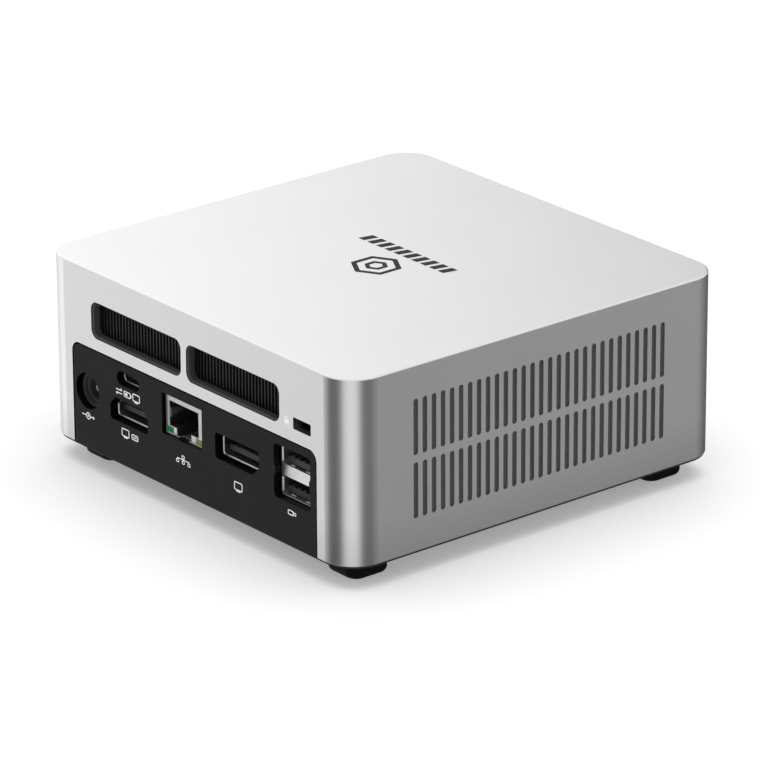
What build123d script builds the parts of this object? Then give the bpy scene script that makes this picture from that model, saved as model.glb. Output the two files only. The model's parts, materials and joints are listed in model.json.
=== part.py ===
from build123d import *
import math
import os

# Mini PC, modelled as it comes apart on a bench.
# Millimetres, +Z up, rear connector face towards +Y, power button towards -Y.
# Heights below are counted from the lower edge of the casing; save() then lifts
# every piece so that the rubber feet stand on Z = 0 under the casing's centre.

# ---------------------------------------------------------------- driving sizes
WIDTH, DEPTH, HEIGHT = 128.0, 126.0, 50.7      # casing, without feet
CORNER_R = 9.6                                 # upright corners of the casing
WALL, ROOF = 1.6, 2.0                          # casing wall and top thickness
EDGE_R = 0.45                                  # softened top edge
FIT = 0.2                                      # assembly gap between casing and inserts

COVER_LIP = 0.45                               # bottom cover stands this far below the casing
COVER_RIM = 0.35                               # its rim is set in from the casing's faces
COVER_T = 2.0
FOOT_SIZE, FOOT_R, FOOT_H = 12.7, 3.6, 6.05
FOOT_RIM = 1.5
FOOT_X, FOOT_Y = 51.4, 50.0
LIFT = FOOT_H + COVER_LIP                      # casing edge above the table

PANEL_W, PANEL_H, PANEL_R = 102.8, 28.85, 3.0  # connector panel in the rear wall
PANEL_T, PANEL_SET = 2.0, 0.05
PANEL_GAP = 0.45                               # shadow gap round the panel
PORT_SET, LAN_SET = 2.0, 1.0                   # port mouths behind the rear face

VENT_W, VENT_H, VENT_R = 38.5, 10.3, 2.5       # exhaust windows
VENT_X, VENT_Z = (23.35, -17.35), 37.25
FIN_PITCH, FIN_T = 1.33, 0.45
FIN_FACE = 2.5                                 # fins start this far behind the rear face

SLOT_COUNT, SLOT_PITCH = 29, 2.964             # intake slots on the two sides
SLOT_W, SLOT_L = 1.5, 15.2
SLOT_Z = (16.8, 34.0)
SLOT_Y = -0.3                                  # middle of the slot field
THIN_WALL = 0.6                                # wall left over the dust filters

LOCK_X, LOCK_Z, LOCK_W, LOCK_H = -45.65, 34.0, 7.1, 3.2

PORTS = {                                      # centre X and Z of each rear socket
    "usb_c": (27.1, 24.2),
    "hdmi": (27.0, 14.85),
    "lan": (4.25, 20.0),
    "dp": (-18.9, 18.0),
    "usb_a": (-41.35, 18.9),
}
JACK_X, JACK_Z, JACK_R = 45.0, 16.1, 5.05
LAN_W, LAN_H, LAN_DEPTH = 15.9, 11.0, 15.0
SHEET = 0.4                                    # socket shell thickness
EAR_H, EAR_OUT, EAR_DEPTH = 3.8, 0.15, 0.35    # side ears that flare from a USB-A mouth

BOARD_Z0, BOARD_T = 26.8, 1.6                  # main board, connectors hang below it
BOARD_W, BOARD_FRONT, BOARD_REAR = 116.0, -56.5, 59.0
POST_X, POST_Y = 54.0, 52.5                    # corner posts for the bottom cover
BOSS_XY = [(-55.0, -22.0), (55.0, -22.0), (-55.0, 26.0), (55.0, 26.0)]

FAN_X, FAN_Y, FAN_R = 3.0, 8.0, 29.0           # blower rotor axis and radius
FAN_Z0, FAN_H = 30.5, 14.0
HUB_R, BLADES = 13.0, 31
SHAFT_R, SHAFT_GAP = 1.45, 0.05

BUTTON_X, BUTTON_Z, BUTTON_R = 46.0, 21.0, 5.5
BUTTON_TRAVEL = 0.6
FRONT_Z = 21.0                                 # centre line of the front sockets
FRONT_C_X, FRONT_A_X = -27.0, (-8.0, 12.0)
AUDIO_X, AUDIO_R = -44.0, 3.0
FRONT_LAMP_X, FRONT_LAMP_R = 34.5, 0.9

BRACKET_X = 30.0                               # half the spacing of the bracket threads
INSERT_R, THREAD_R = 2.3, 1.25

CPU_X, CPU_Y = 3.0, -43.5
PLATE_W, PLATE_D = 44.0, 27.0                  # cold plate
PIPE_W, PIPE_T = 8.0, 3.0
PIPE_ROW = 4.2                                 # pipe centre lines either side of the die
PIPE_RUN_X, PIPE_FIN_Y, PIPE_BEND = 47.6, 54.0, 7.0
FAN_WALL_R = 37.0
MEM_X, MEM_Y0, MEM_LEN = -4.0, -29.0, 67.6
SSD_X, SSD_Y0 = -38.0, -38.0
WIFI_X, WIFI_Y0 = 44.5, -6.0
CELL_X, CELL_Y = 43.0, -28.0

REAR, FRONT = DEPTH / 2, -DEPTH / 2
BOARD_TOP = BOARD_Z0 + BOARD_T
ROOF_Z = HEIGHT - ROOF
COVER_TOP = COVER_T - COVER_LIP
PAD_TOP = COVER_TOP + 1.2
DIE_TOP = BOARD_TOP + 1.8
PLATE_TOP = DIE_TOP + 1.5
COOLER_XY = [(CPU_X + sx * 19.0, CPU_Y + sy * 11.0) for sx in (-1, 1) for sy in (-1, 1)]
FIN_X0, FIN_X1 = -37.5, 43.5
FIN_Y0, FIN_Y1 = 49.0, REAR - FIN_FACE
FIN_Z0, FIN_Z1 = PLATE_TOP, 43.4
FAN_X0, FAN_X1 = FAN_X - 39.0, FAN_X + 39.0
FAN_Z1 = FAN_Z0 + FAN_H
LUGS = [(FAN_X - 27.6, FAN_Y - 27.6), (FAN_X + 27.6, FAN_Y - 27.6)]
MEM_LEVELS = (BOARD_Z0 - 3.6, BOARD_Z0 - 7.8)
SSD_Z = WIFI_Z = BOARD_Z0 - 4.2
CARD_ENDS = [(SSD_X, SSD_Y0 + 80.0, SSD_Z), (WIFI_X, WIFI_Y0 + 30.0, WIFI_Z)]
SWITCH_FACE = FRONT + WALL + 0.15 + 1.0 + 1.3


# ---------------------------------------------------------------- small helpers
def block(x0, x1, y0, y1, z0, z1):
    """Box between two opposite corners."""
    middle = Pos((x0 + x1) / 2, (y0 + y1) / 2, (z0 + z1) / 2)
    return middle * Box(x1 - x0, y1 - y0, z1 - z0)


def rod(x, y, z0, z1, r):
    """Upright cylinder."""
    return Pos(x, y, (z0 + z1) / 2) * Cylinder(r, z1 - z0)


def along_y(sketch, y0, y1):
    """Extrude a sketch drawn in X and Z from y0 to y1."""
    plane = Plane(origin=(0, y1, 0), x_dir=(1, 0, 0), z_dir=(0, -1, 0))
    return extrude(plane * sketch, amount=y1 - y0)


def along_x(sketch, x0, x1):
    """Extrude a sketch drawn in Y and Z from x0 to x1."""
    plane = Plane(origin=(x0, 0, 0), x_dir=(0, 1, 0), z_dir=(1, 0, 0))
    return extrude(plane * sketch, amount=x1 - x0)


def along_z(sketch, z0, z1):
    """Extrude a plan sketch from z0 to z1."""
    return extrude(Pos(0, 0, z0) * sketch, amount=z1 - z0)


def group(*pieces):
    """Several separate solids in one node."""
    return Compound(children=[piece for piece in pieces])


def save(node, shape):
    """Write one node, lifted so that the feet stand on Z = 0."""
    placed = Pos(0, 0, LIFT) * shape
    placed.label = node
    export_step(placed, f"parts/{node}.step")


def corners(x, y):
    """The four mirrored places of one point."""
    return [(sx * x, sy * y) for sx in (-1, 1) for sy in (-1, 1)]


# ---------------------------------------------------------------- outlines
def cut_corner(width, height, cut, places, soft):
    """Rectangle cut across the named corners, given as (side, level) signs."""
    outline = Rectangle(width, height)
    for sx, sz in places:
        tip = (sx * width / 2, sz * height / 2)
        outline -= make_face(Polyline(tip, (tip[0] - sx * cut, tip[1]),
                                      (tip[0], tip[1] - sz * cut), close=True))
    return fillet(outline.vertices(), soft)


def hdmi_outline(grow=0.0):
    """Wide edge down: the socket hangs below its board."""
    return cut_corner(15.0 + grow, 5.2 + grow, 1.9 + grow * 0.2, [(-1, 1), (1, 1)],
                      0.7 + grow * 0.2)


def dp_outline(grow=0.0):
    return cut_corner(16.9 + grow, 5.7 + grow, 2.4 + grow * 0.3, [(-1, -1)],
                      0.8 + grow * 0.2)


def usb_c_outline(grow=0.0):
    return SlotOverall(8.94 + grow, 3.26 + grow)


def usb_a_outline(grow=0.0):
    return RectangleRounded(13.1 + grow, 5.8 + grow, 0.8 + grow * 0.2)


# ---------------------------------------------------------------- connectors
# Each is drawn with its mouth at Y = 0 facing +Y and its centre at X = Z = 0,
# and returns the metal shell and the plastic insert. "rise" is the height from
# the centre up to the board, which the insert's back block reaches.
def lead_in(shell, size):
    """Chamfer the inner edges of a shell's mouth."""
    rim = shell.faces().sort_by(Axis.Y)[-1]
    return chamfer([e for wire in rim.inner_wires() for e in wire.edges()], size)


def socket(outline, depth, tongue, rise, funnel, back=1.6):
    """Sheet metal shell round a plastic back block that carries a tongue."""
    shell = lead_in(along_y(outline(0) - outline(-2 * SHEET), -depth, 0), funnel)
    plug = along_y(outline(-2 * SHEET - 0.1), -depth, -depth + back)
    low = plug.bounding_box().min
    leg = block(low.X + 0.6, -low.X - 0.6, -depth - back, -depth, low.Z, rise)
    tongue_w, tongue_t, tongue_z = tongue
    blade = block(-tongue_w / 2, tongue_w / 2, -depth + back, -0.7,
                  tongue_z - tongue_t / 2, tongue_z + tongue_t / 2)
    return shell, plug + leg + blade


def usb_c(rise):
    return socket(usb_c_outline, 7.5, (6.7, 0.7, 0.0), rise, 0.12)


def hdmi(rise):
    return socket(hdmi_outline, 11.0, (11.6, 1.4, 0.25), rise, 0.22)


def display_port(rise):
    return socket(dp_outline, 11.5, (12.6, 1.5, -0.2), rise, 0.22)


def usb_a(rise):
    return socket(usb_a_outline, 13.5, (11.0, 1.7, -1.0), rise, 0.15)


def usb_a_stack(rise, pitch=8.15):
    """Two mouths, one over the other, in one sheet metal can."""
    mouths = [Pos(0, s * pitch / 2) * usb_a_outline(-2 * SHEET) for s in (-1, 1)]
    can = RectangleRounded(13.1, pitch + 5.8, 0.8)
    shell = along_y(can - mouths[0] - mouths[1], -13.5, 0)
    outer, inner = 13.1 / 2, 13.1 / 2 - SHEET
    ear = make_face(Polyline((inner, -EAR_DEPTH), (inner + 0.2, 0), (outer + EAR_OUT, 0),
                             (outer + EAR_OUT, -0.2), (outer, -EAR_DEPTH), close=True))
    for s in (-1, 1):
        z0, z1 = s * pitch / 2 - EAR_H / 2, s * pitch / 2 + EAR_H / 2
        shell -= block(-8, -inner + 0.01, -EAR_DEPTH, 1, z0, z1)
        shell -= block(inner - 0.01, 8, -EAR_DEPTH, 1, z0, z1)
        right = along_z(ear, z0, z1)
        shell += right + mirror(right, Plane.YZ)
    insert = block(-5.8, 5.8, -15.1, -13.5, -pitch / 2 - 2.4, rise)
    for s in (-1, 1):
        place = Pos(0, 0, s * pitch / 2)
        insert += place * along_y(usb_a_outline(-2 * SHEET - 0.1), -13.5, -11.9)
        insert += place * block(-5.5, 5.5, -11.9, -0.7, -1.85, -0.15)
    return shell, insert


def lan_mouth():
    """Plug opening with the stepped latch notch at its lower edge."""
    mouth = Pos(0.25, 0.35) * Rectangle(12.3, 7.0)
    mouth += Pos(0.3, -4.1) * Rectangle(6.2, 2.1)
    return mouth + Pos(0.3, -5.4) * Rectangle(4.0, 1.2)


def lan_lamp(side):
    """Outline of the indicator window beside the notch."""
    return Pos(side * 6.05, -4.2) * Rectangle(2.7, 1.65)


def lan_jack(rise):
    """Network jack: tinned can, plastic core, two indicator light pipes."""
    face = Rectangle(LAN_W, LAN_H)
    windows = lan_lamp(-1) + lan_lamp(1)
    core_face = Rectangle(LAN_W - 0.6, LAN_H - 0.6)
    can = along_y(face - core_face, -LAN_DEPTH, 0)
    can += along_y(face - lan_mouth() - windows, -0.35, 0)
    can -= along_y(lan_mouth(), -1.2, 1)
    can += block(-LAN_W / 2, -LAN_W / 2 + 0.3, -4, -2, LAN_H / 2, rise)
    can += block(LAN_W / 2 - 0.3, LAN_W / 2, -4, -2, LAN_H / 2, rise)
    core = along_y(core_face - lan_mouth() - windows, -LAN_DEPTH + 2.5, -0.35)
    core += along_y(core_face, -LAN_DEPTH, -LAN_DEPTH + 2.5)
    lamps = [along_y(lan_lamp(side), -LAN_DEPTH + 2.5, -0.1) for side in (1, -1)]
    return can, core, lamps


# ---------------------------------------------------------------- casing
def casing():
    """One-piece aluminium casing: roof and four walls, open below."""
    body = extrude(RectangleRounded(WIDTH, DEPTH, CORNER_R), HEIGHT)
    body = fillet(body.faces().sort_by(Axis.Z)[-1].edges(), EDGE_R)
    body = chamfer(body.faces().sort_by(Axis.Z)[0].edges(), 0.25)
    inner = RectangleRounded(WIDTH - 2 * WALL, DEPTH - 2 * WALL, CORNER_R - WALL)
    body -= extrude(inner, ROOF_Z)

    field = (SLOT_COUNT - 1) * SLOT_PITCH + SLOT_W
    pocket_z0 = SLOT_Z[0] - SLOT_L / 2 - 2.0
    pocket_z1 = SLOT_Z[1] + SLOT_L / 2 + 2.0
    for side in (-1, 1):
        outer, inside = side * (WIDTH / 2 - THIN_WALL), side * (WIDTH / 2 - WALL - 1)
        body -= block(min(outer, inside), max(outer, inside), SLOT_Y - field / 2 - 2,
                      SLOT_Y + field / 2 + 2, pocket_z0, pocket_z1)
    slots = Sketch() + [
        Pos(SLOT_Y, z) * loc * SlotOverall(SLOT_L, SLOT_W, rotation=90)
        for z in SLOT_Z
        for loc in GridLocations(SLOT_PITCH, 1, SLOT_COUNT, 1)
    ]
    body -= along_x(slots, -WIDTH / 2 - 1, WIDTH / 2 + 1)

    windows = Pos(0, PANEL_H / 2 - PANEL_R) * RectangleRounded(
        PANEL_W, PANEL_H + 2 * PANEL_R, PANEL_R)
    for x in VENT_X:
        windows += Pos(x, VENT_Z) * RectangleRounded(VENT_W, VENT_H, VENT_R)
    windows += Pos(LOCK_X, LOCK_Z) * RectangleRounded(LOCK_W, LOCK_H, 0.4)
    body -= along_y(windows, REAR - WALL - 1, REAR + 1)

    front = Pos(BUTTON_X, BUTTON_Z) * Circle(BUTTON_R + FIT)
    front += Pos(FRONT_LAMP_X, FRONT_Z) * Circle(FRONT_LAMP_R + 0.05)
    front += Pos(AUDIO_X, FRONT_Z) * Circle(AUDIO_R + FIT)
    front += Pos(FRONT_C_X, FRONT_Z) * usb_c_outline(0.5)
    for x in FRONT_A_X:
        front += Pos(x, FRONT_Z) * usb_a_outline(0.5)
    body -= along_y(front, FRONT - 1, FRONT + WALL + 1)

    for x, y in corners(POST_X, POST_Y):
        post = rod(x, y, PAD_TOP, ROOF_Z, 2.8) - rod(x, y, PAD_TOP, PAD_TOP + 10, 1.3)
        body += post
    for x, y in BOSS_XY:
        body += rod(x, y, BOARD_TOP, ROOF_Z, 2.5) - rod(x, y, BOARD_TOP, BOARD_TOP + 6, 1.05)
    return body


# ---------------------------------------------------------------- rear face
def panel_cutouts():
    """Openings of the connector panel, each a little larger than its socket."""
    holes = Pos(JACK_X, JACK_Z) * Circle(JACK_R)
    holes += Pos(*PORTS["usb_c"]) * SlotOverall(9.6, 3.9)
    holes += Pos(*PORTS["hdmi"]) * hdmi_outline(1.2)
    holes += Pos(*PORTS["lan"]) * Rectangle(LAN_W + 1.0, LAN_H + 0.4)
    holes += Pos(*PORTS["dp"]) * dp_outline(1.4)
    x, z = PORTS["usb_a"]
    for offset in (-4.1, 4.1):
        holes += Pos(x, z + offset) * RectangleRounded(14.7, 6.4, 1.0)
    return holes + Pos(x, z) * Rectangle(13.7, 6.0)


def io_panel():
    """Moulded panel set into the rear wall, with a flange behind the wall."""
    face = Pos(0, PANEL_H / 2 - PANEL_R) * RectangleRounded(
        PANEL_W - 2 * PANEL_GAP, PANEL_H + 2 * PANEL_R - 2 * PANEL_GAP, PANEL_R - PANEL_GAP)
    face &= Pos(0, 50) * Rectangle(PANEL_W, 100)
    flange = Pos(0, (PANEL_H + 1.5) / 2) * Rectangle(PANEL_W + 3, PANEL_H + 1.5)
    flange_y = REAR - WALL
    panel = along_y(face, REAR - PANEL_T, REAR - PANEL_SET)
    panel += along_y(flange, flange_y - 1.2, flange_y)
    return panel - along_y(panel_cutouts(), REAR - 5, REAR + 1)


def exhaust_bezel():
    """Black frame whose two short spouts fill the exhaust windows."""
    back = REAR - WALL
    x0, x1 = VENT_X[1] - VENT_W / 2 - 2, VENT_X[0] + VENT_W / 2 + 2
    frame = block(x0, x1, REAR - FIN_FACE, back, VENT_Z - VENT_H / 2 - 1.4,
                  VENT_Z + VENT_H / 2 + 2)
    for x in VENT_X:
        spout = RectangleRounded(VENT_W - 0.1, VENT_H - 0.1, VENT_R - 0.05)
        bore = RectangleRounded(VENT_W - 1.0, VENT_H - 1.0, VENT_R - 0.5)
        frame -= along_y(Pos(x, VENT_Z) * bore, REAR - 5, REAR + 1)
        frame += lead_in(along_y(Pos(x, VENT_Z) * (spout - bore), back, REAR - 0.25), 0.32)
    return frame


def lock_plate():
    """Steel plate that stiffens the security slot from inside."""
    plate = Pos(LOCK_X, LOCK_Z + 1.6) * RectangleRounded(12.0, 10.0, 1.0)
    plate -= Pos(LOCK_X, LOCK_Z) * RectangleRounded(LOCK_W + 0.2, LOCK_H + 0.2, 0.4)
    return along_y(plate, REAR - WALL - 1.2, REAR - WALL)


def dc_jack():
    """Barrel jack: square body, round stepped mouth, separate centre pin."""
    mouth = REAR - PORT_SET
    body = block(JACK_X - 5.2, JACK_X + 5.2, mouth - 11.0, mouth - 2.2,
                 JACK_Z - 5.2, JACK_Z + 5.2)
    body += along_y(Pos(JACK_X, JACK_Z) * Circle(JACK_R - 0.25), mouth - 2.2, mouth)
    body += block(JACK_X - 4.5, JACK_X + 4.5, mouth - 11.0, mouth - 8.0,
                  JACK_Z + 5.2, BOARD_Z0)
    bore = Pos(JACK_X, JACK_Z) * Circle(3.15)
    body -= along_y(Pos(JACK_X, JACK_Z) * Circle(4.1), mouth - 1.1, mouth + 1)
    body -= along_y(bore, mouth - 9.5, mouth + 1)
    pin = along_y(Pos(JACK_X, JACK_Z) * Circle(1.2), mouth - 9.5, mouth - 1.4)
    pin = fillet(pin.faces().sort_by(Axis.Y)[-1].edges(), 0.5)
    return body, pin


# ---------------------------------------------------------------- underside
def bottom_cover():
    """Screwed-on cover with two intake grilles and pads for its screws."""
    outline = RectangleRounded(WIDTH - 2 * WALL - 2 * FIT, DEPTH - 2 * WALL - 2 * FIT,
                               CORNER_R - WALL - FIT)
    notch = Pos(0, REAR - WALL) * Rectangle(PANEL_W + 3 + 2 * FIT, 2 * (1.2 + FIT))
    rim = RectangleRounded(WIDTH - 2 * COVER_RIM, DEPTH - 2 * COVER_RIM, CORNER_R - COVER_RIM)
    cover = along_z(outline - notch, -COVER_LIP, COVER_TOP)
    cover += along_z(rim, -COVER_LIP, -0.05)
    for x, y in corners(POST_X, POST_Y):
        cover += rod(x, y, COVER_TOP, PAD_TOP, 4.0)
        cover -= rod(x, y, -COVER_LIP, -COVER_LIP + 1.9, 2.5) + rod(x, y, 0, PAD_TOP + 1, 1.35)
    grille = Sketch() + [
        Pos(x, y) * SlotOverall(34.0, 1.8)
        for x in (-19.0, 19.0)
        for y in [row * 3.4 for row in range(-9, 10) if abs(row) > 1]
    ]
    cover -= along_z(grille, -COVER_LIP - 1, COVER_TOP + 1)
    for x in (-BRACKET_X, BRACKET_X):
        cover += rod(x, 0, COVER_TOP, COVER_TOP + 3.3, 4.2)
        cover -= rod(x, 0, -1, COVER_TOP + 4, INSERT_R)
    return cover


def bracket_inserts():
    """Brass thread inserts that take a wall bracket's screws."""
    ring = Circle(INSERT_R) - Circle(THREAD_R)
    return group(*[along_z(Pos(x, 0) * ring, -COVER_LIP + 0.1, COVER_TOP + 3.3)
                   for x in (-BRACKET_X, BRACKET_X)])


def foot(x, y):
    """Rounded-square rubber foot with a soft lower rim."""
    pad = along_z(Pos(x, y) * RectangleRounded(FOOT_SIZE, FOOT_SIZE, FOOT_R), -LIFT, -COVER_LIP)
    return fillet(pad.faces().sort_by(Axis.Z)[0].edges(), FOOT_RIM)


def screw(x, y, z_head, z_tip, head_r, head_h, shank_r):
    """Pan-head screw; the head is below or above depending on the tip."""
    sign = 1 if z_tip > z_head else -1
    head = [z_head, z_head + sign * head_h]
    shank = [head[1], z_tip]
    body = rod(x, y, min(head), max(head), head_r) + rod(x, y, min(shank), max(shank), shank_r)
    recess = [z_head, z_head + sign * head_h * 0.55]
    hexagon = along_z(Pos(x, y) * RegularPolygon(head_r * 0.45, 6), min(recess), max(recess))
    return body - hexagon


def cover_screws():
    return group(*[screw(x, y, -COVER_LIP + 0.1, PAD_TOP + 7, 2.3, 1.8, 1.2)
                   for x, y in corners(POST_X, POST_Y)])


# ---------------------------------------------------------------- main board
def main_board():
    """Printed circuit board, notched round the corner posts."""
    middle = (BOARD_FRONT + BOARD_REAR) / 2
    outline = Pos(0, middle) * Rectangle(BOARD_W, BOARD_REAR - BOARD_FRONT)
    for x, y in corners(POST_X, POST_Y):
        outline -= Pos(x, y) * Circle(3.6)
        outline -= Pos(math.copysign(60, x), math.copysign(60, y)) * Rectangle(14, 14)
    for x, y in BOSS_XY:
        outline -= Pos(x, y) * Circle(1.15)
    for x, y in COOLER_XY:
        outline -= Pos(x, y) * Circle(1.25)
    return along_z(outline, BOARD_Z0, BOARD_TOP)


def board_screws():
    return group(*[screw(x, y, BOARD_Z0 - 1.4, BOARD_TOP + 4.5, 2.1, 1.4, 0.95)
                   for x, y in BOSS_XY])


def processor():
    """Chip package: green substrate and bare die in one soldered piece."""
    package = block(CPU_X - 17.5, CPU_X + 17.5, CPU_Y - 7.0, CPU_Y + 7.0,
                    BOARD_TOP, BOARD_TOP + 1.1)
    return package + block(CPU_X - 8, CPU_X + 8, CPU_Y - 4.5, CPU_Y + 4.5,
                           BOARD_TOP + 1.1, DIE_TOP)


def cold_plate():
    """Copper plate on the die, held by four screws."""
    plate = Pos(CPU_X, CPU_Y) * RectangleRounded(PLATE_W, PLATE_D, 2.0)
    for x, y in COOLER_XY:
        plate -= Pos(x, y) * Circle(1.25)
    return along_z(plate, DIE_TOP, PLATE_TOP)


def cooler_screws():
    return group(*[screw(x, y, PLATE_TOP + 1.4, BOARD_Z0 - 0.6, 2.0, 1.4, 1.1)
                   for x, y in COOLER_XY])


def heat_pipes():
    """Two flattened pipes from the cold plate, round the blower, into the fins."""
    z = PLATE_TOP + PIPE_T / 2
    pipes = []
    for side, start, end in ((1, CPU_X - 15.0, CPU_X + 1.0), (-1, CPU_X + 15.0, CPU_X - 1.0)):
        row_y = CPU_Y - side * PIPE_ROW
        route = FilletPolyline((start, row_y, z), (side * PIPE_RUN_X, row_y, z),
                               (side * PIPE_RUN_X, PIPE_FIN_Y, z), (end, PIPE_FIN_Y, z),
                               radius=PIPE_BEND)
        section = Plane(origin=route @ 0, z_dir=route % 0, x_dir=(0, 1, 0))
        profile = section * RectangleRounded(PIPE_W, PIPE_T, PIPE_T / 2 - 0.05)
        pipes.append(sweep(profile, path=route))
    return group(*pipes)


def fin_stack():
    """Comb of upright fins under one top sheet, threaded by the heat pipes."""
    count = int((FIN_X1 - FIN_X0 - FIN_T) / FIN_PITCH) + 1
    first = (FIN_X0 + FIN_X1) / 2 - (count - 1) * FIN_PITCH / 2
    middle = (FIN_Z0 + FIN_Z1) / 2
    comb = Sketch() + [Pos(first + i * FIN_PITCH, middle) * Rectangle(FIN_T, FIN_Z1 - FIN_Z0)
                       for i in range(count)]
    comb += Pos((FIN_X0 + FIN_X1) / 2, FIN_Z1 - 0.2) * Rectangle((count - 1) * FIN_PITCH, 0.4)
    stack = along_y(comb, FIN_Y0, FIN_Y1)
    gap = 0.05
    tunnel = block(FIN_X0 - 1, FIN_X1 + 1, PIPE_FIN_Y - PIPE_W / 2 - gap,
                   PIPE_FIN_Y + PIPE_W / 2 + gap, FIN_Z0 - 1, FIN_Z0 + PIPE_T + gap)
    bend = block(PIPE_RUN_X - PIPE_BEND - 1, FIN_X1 + 1, FIN_Y0 - 1, PIPE_FIN_Y,
                 FIN_Z0 - 1, FIN_Z0 + PIPE_T + gap)
    return stack - tunnel - bend


# ---------------------------------------------------------------- blower
def scroll(shrink=0.0):
    """Blower outline: round in front, straight and wide at the outlet."""
    radius = FAN_WALL_R - shrink
    outlet = 39.0 - shrink
    shape = Pos(FAN_X, FAN_Y) * Circle(radius)
    middle = (FAN_Y + FIN_Y0) / 2
    throat = Pos(FAN_X, middle) * Rectangle(2 * outlet, FIN_Y0 - FAN_Y)
    return shape + throat


def fan_housing():
    """Blower base and wall, open above and towards the fins."""
    floor = along_z(scroll(), FAN_Z0, FAN_Z0 + 1.0)
    inlet = Circle(21.0) - Circle(14.5)
    for turn in (0, 120, 240):
        inlet -= Rot(0, 0, turn) * Pos(17.5, 0) * Rectangle(9.0, 4.0)
    floor -= along_z(Pos(FAN_X, FAN_Y) * inlet, FAN_Z0 - 1, FAN_Z0 + 1.5)
    wall = along_z(scroll() - scroll(1.2), FAN_Z0 + 1.0, FAN_Z1 - 1.0)
    wall -= block(FAN_X0 + 1.2, FAN_X1 - 1.2, FIN_Y0 - 2, FIN_Y0 + 1, FAN_Z0 + 1, FAN_Z1)
    body = floor + wall
    for x, y in LUGS:
        body += rod(x, y, BOARD_TOP, FAN_Z0 + 3.0, 3.2)
        body -= rod(x, y, BOARD_TOP - 1, FAN_Z0 + 4.0, 0.95)
    return body


def fan_cover():
    """Blower lid with its round inlet."""
    lid = along_z(scroll(), FAN_Z1 - 1.0, FAN_Z1)
    lid -= rod(FAN_X, FAN_Y, FAN_Z1 - 2, FAN_Z1 + 1, 23.0)
    return lid


def fan_rotor():
    """Hub cup, web ring and curved blades as one moulding."""
    z0, z1 = FAN_Z0 + 2.2, FAN_Z1 - 2.0
    hub = rod(FAN_X, FAN_Y, z0, z1, HUB_R) - rod(FAN_X, FAN_Y, z0 - 1, z1 - 1.6, HUB_R - 1.2)
    hub -= rod(FAN_X, FAN_Y, z0, z1 + 1, SHAFT_R)
    hub = fillet(hub.edges().filter_by(GeomType.CIRCLE).filter_by(
        lambda e: abs(e.radius - HUB_R) < 0.01).sort_by(Axis.Z)[-1], 0.8)
    blade = ThreePointArc((HUB_R - 0.6, 0), (21.0, 2.2), (FAN_R, 7.5))
    strip = trace(blade, line_width=0.7)
    blades = Sketch() + [Pos(FAN_X, FAN_Y) * Rot(0, 0, i * 360 / BLADES) * strip
                         for i in range(BLADES)]
    vanes = along_z(blades, z0 + 1.0, z1 - 0.8)
    web = Pos(FAN_X, FAN_Y) * (Circle(26.5) - Circle(24.5))
    return hub + vanes + along_z(web, z0 + 1.0, z0 + 1.8)


def fan_shaft():
    return rod(FAN_X, FAN_Y, FAN_Z0 + 2.0, FAN_Z1 - 2.0, SHAFT_R)


def fan_bearing():
    """Bronze sleeve that the shaft turns in."""
    return (rod(FAN_X, FAN_Y, FAN_Z0 + 1.0, FAN_Z1 - 5.0, 3.0)
            - rod(FAN_X, FAN_Y, FAN_Z0 + 1.5, FAN_Z1, SHAFT_R + SHAFT_GAP))


def fan_stator():
    """Motor core with six wound poles round the bearing."""
    core = Circle(5.2) - Circle(3.0)
    for i in range(6):
        turn = Rot(0, 0, i * 60)
        core += turn * Pos(6.8, 0) * Rectangle(5.0, 2.6)
        core += turn * Pos(9.4, 0) * RectangleRounded(1.6, 7.6, 0.5)
    return along_z(Pos(FAN_X, FAN_Y) * core, FAN_Z0 + 3.2, FAN_Z0 + 9.0) + (
        rod(FAN_X, FAN_Y, FAN_Z0 + 1.0, FAN_Z0 + 3.2, 5.2)
        - rod(FAN_X, FAN_Y, FAN_Z0 + 1.0, FAN_Z0 + 3.2, 3.0))


def fan_screws():
    return group(*[screw(x, y, FAN_Z0 + 4.2, BOARD_TOP + 0.2, 1.9, 1.2, 0.85)
                   for x, y in LUGS])


# ---------------------------------------------------------------- below the board
def memory_sockets():
    """Two slots of different height, side by side under the board."""
    pieces = []
    for i, level in enumerate(MEM_LEVELS):
        x = MEM_X - 6.2 * i
        base = block(x - 5.2, x + 0.6, MEM_Y0 - 2, MEM_Y0 + MEM_LEN + 2, level - 1.4, BOARD_Z0)
        mouth = block(x - 2.2, x + 1, MEM_Y0 - 0.1, MEM_Y0 + MEM_LEN + 0.1,
                      level - 0.65, level + 0.65)
        pieces.append(base - mouth)
    return group(*pieces)


def memory_modules():
    """Two memory modules with eight chips each."""
    pieces = []
    for i, level in enumerate(MEM_LEVELS):
        x = MEM_X - 6.2 * i
        card = block(x - 2.2, x + 27.8, MEM_Y0, MEM_Y0 + MEM_LEN, level - 0.6, level + 0.6)
        for row in range(4):
            y = MEM_Y0 + 5 + row * 15.6
            card += block(x + 8, x + 18, y, y + 11, level - 1.5, level - 0.6)
        pieces.append(card)
    return group(*pieces)


def card_sockets():
    """Edge sockets of the storage card and the radio card."""
    pieces = []
    for x, y, z in ((SSD_X, SSD_Y0, SSD_Z), (WIFI_X, WIFI_Y0, WIFI_Z)):
        body = block(x - 11, x + 11, y - 5.5, y + 2.5, z - 1.0, BOARD_Z0)
        pieces.append(body - block(x - 11.1, x + 11.1, y, y + 3, z - 0.45, z + 0.45))
    return group(*pieces)


def edge_card(x, y0, z, length, chips):
    """M.2 card with a half-round screw notch at its free end."""
    outline = Pos(x, y0 + length / 2) * Rectangle(21.9, length)
    outline -= Pos(x, y0 + length) * Circle(1.9)
    card = along_z(outline, z - 0.4, z + 0.4)
    for cx, cy, w, d in chips:
        card += block(x + cx - w / 2, x + cx + w / 2, y0 + cy - d / 2, y0 + cy + d / 2,
                      z - 1.8, z - 0.4)
    return card


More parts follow.
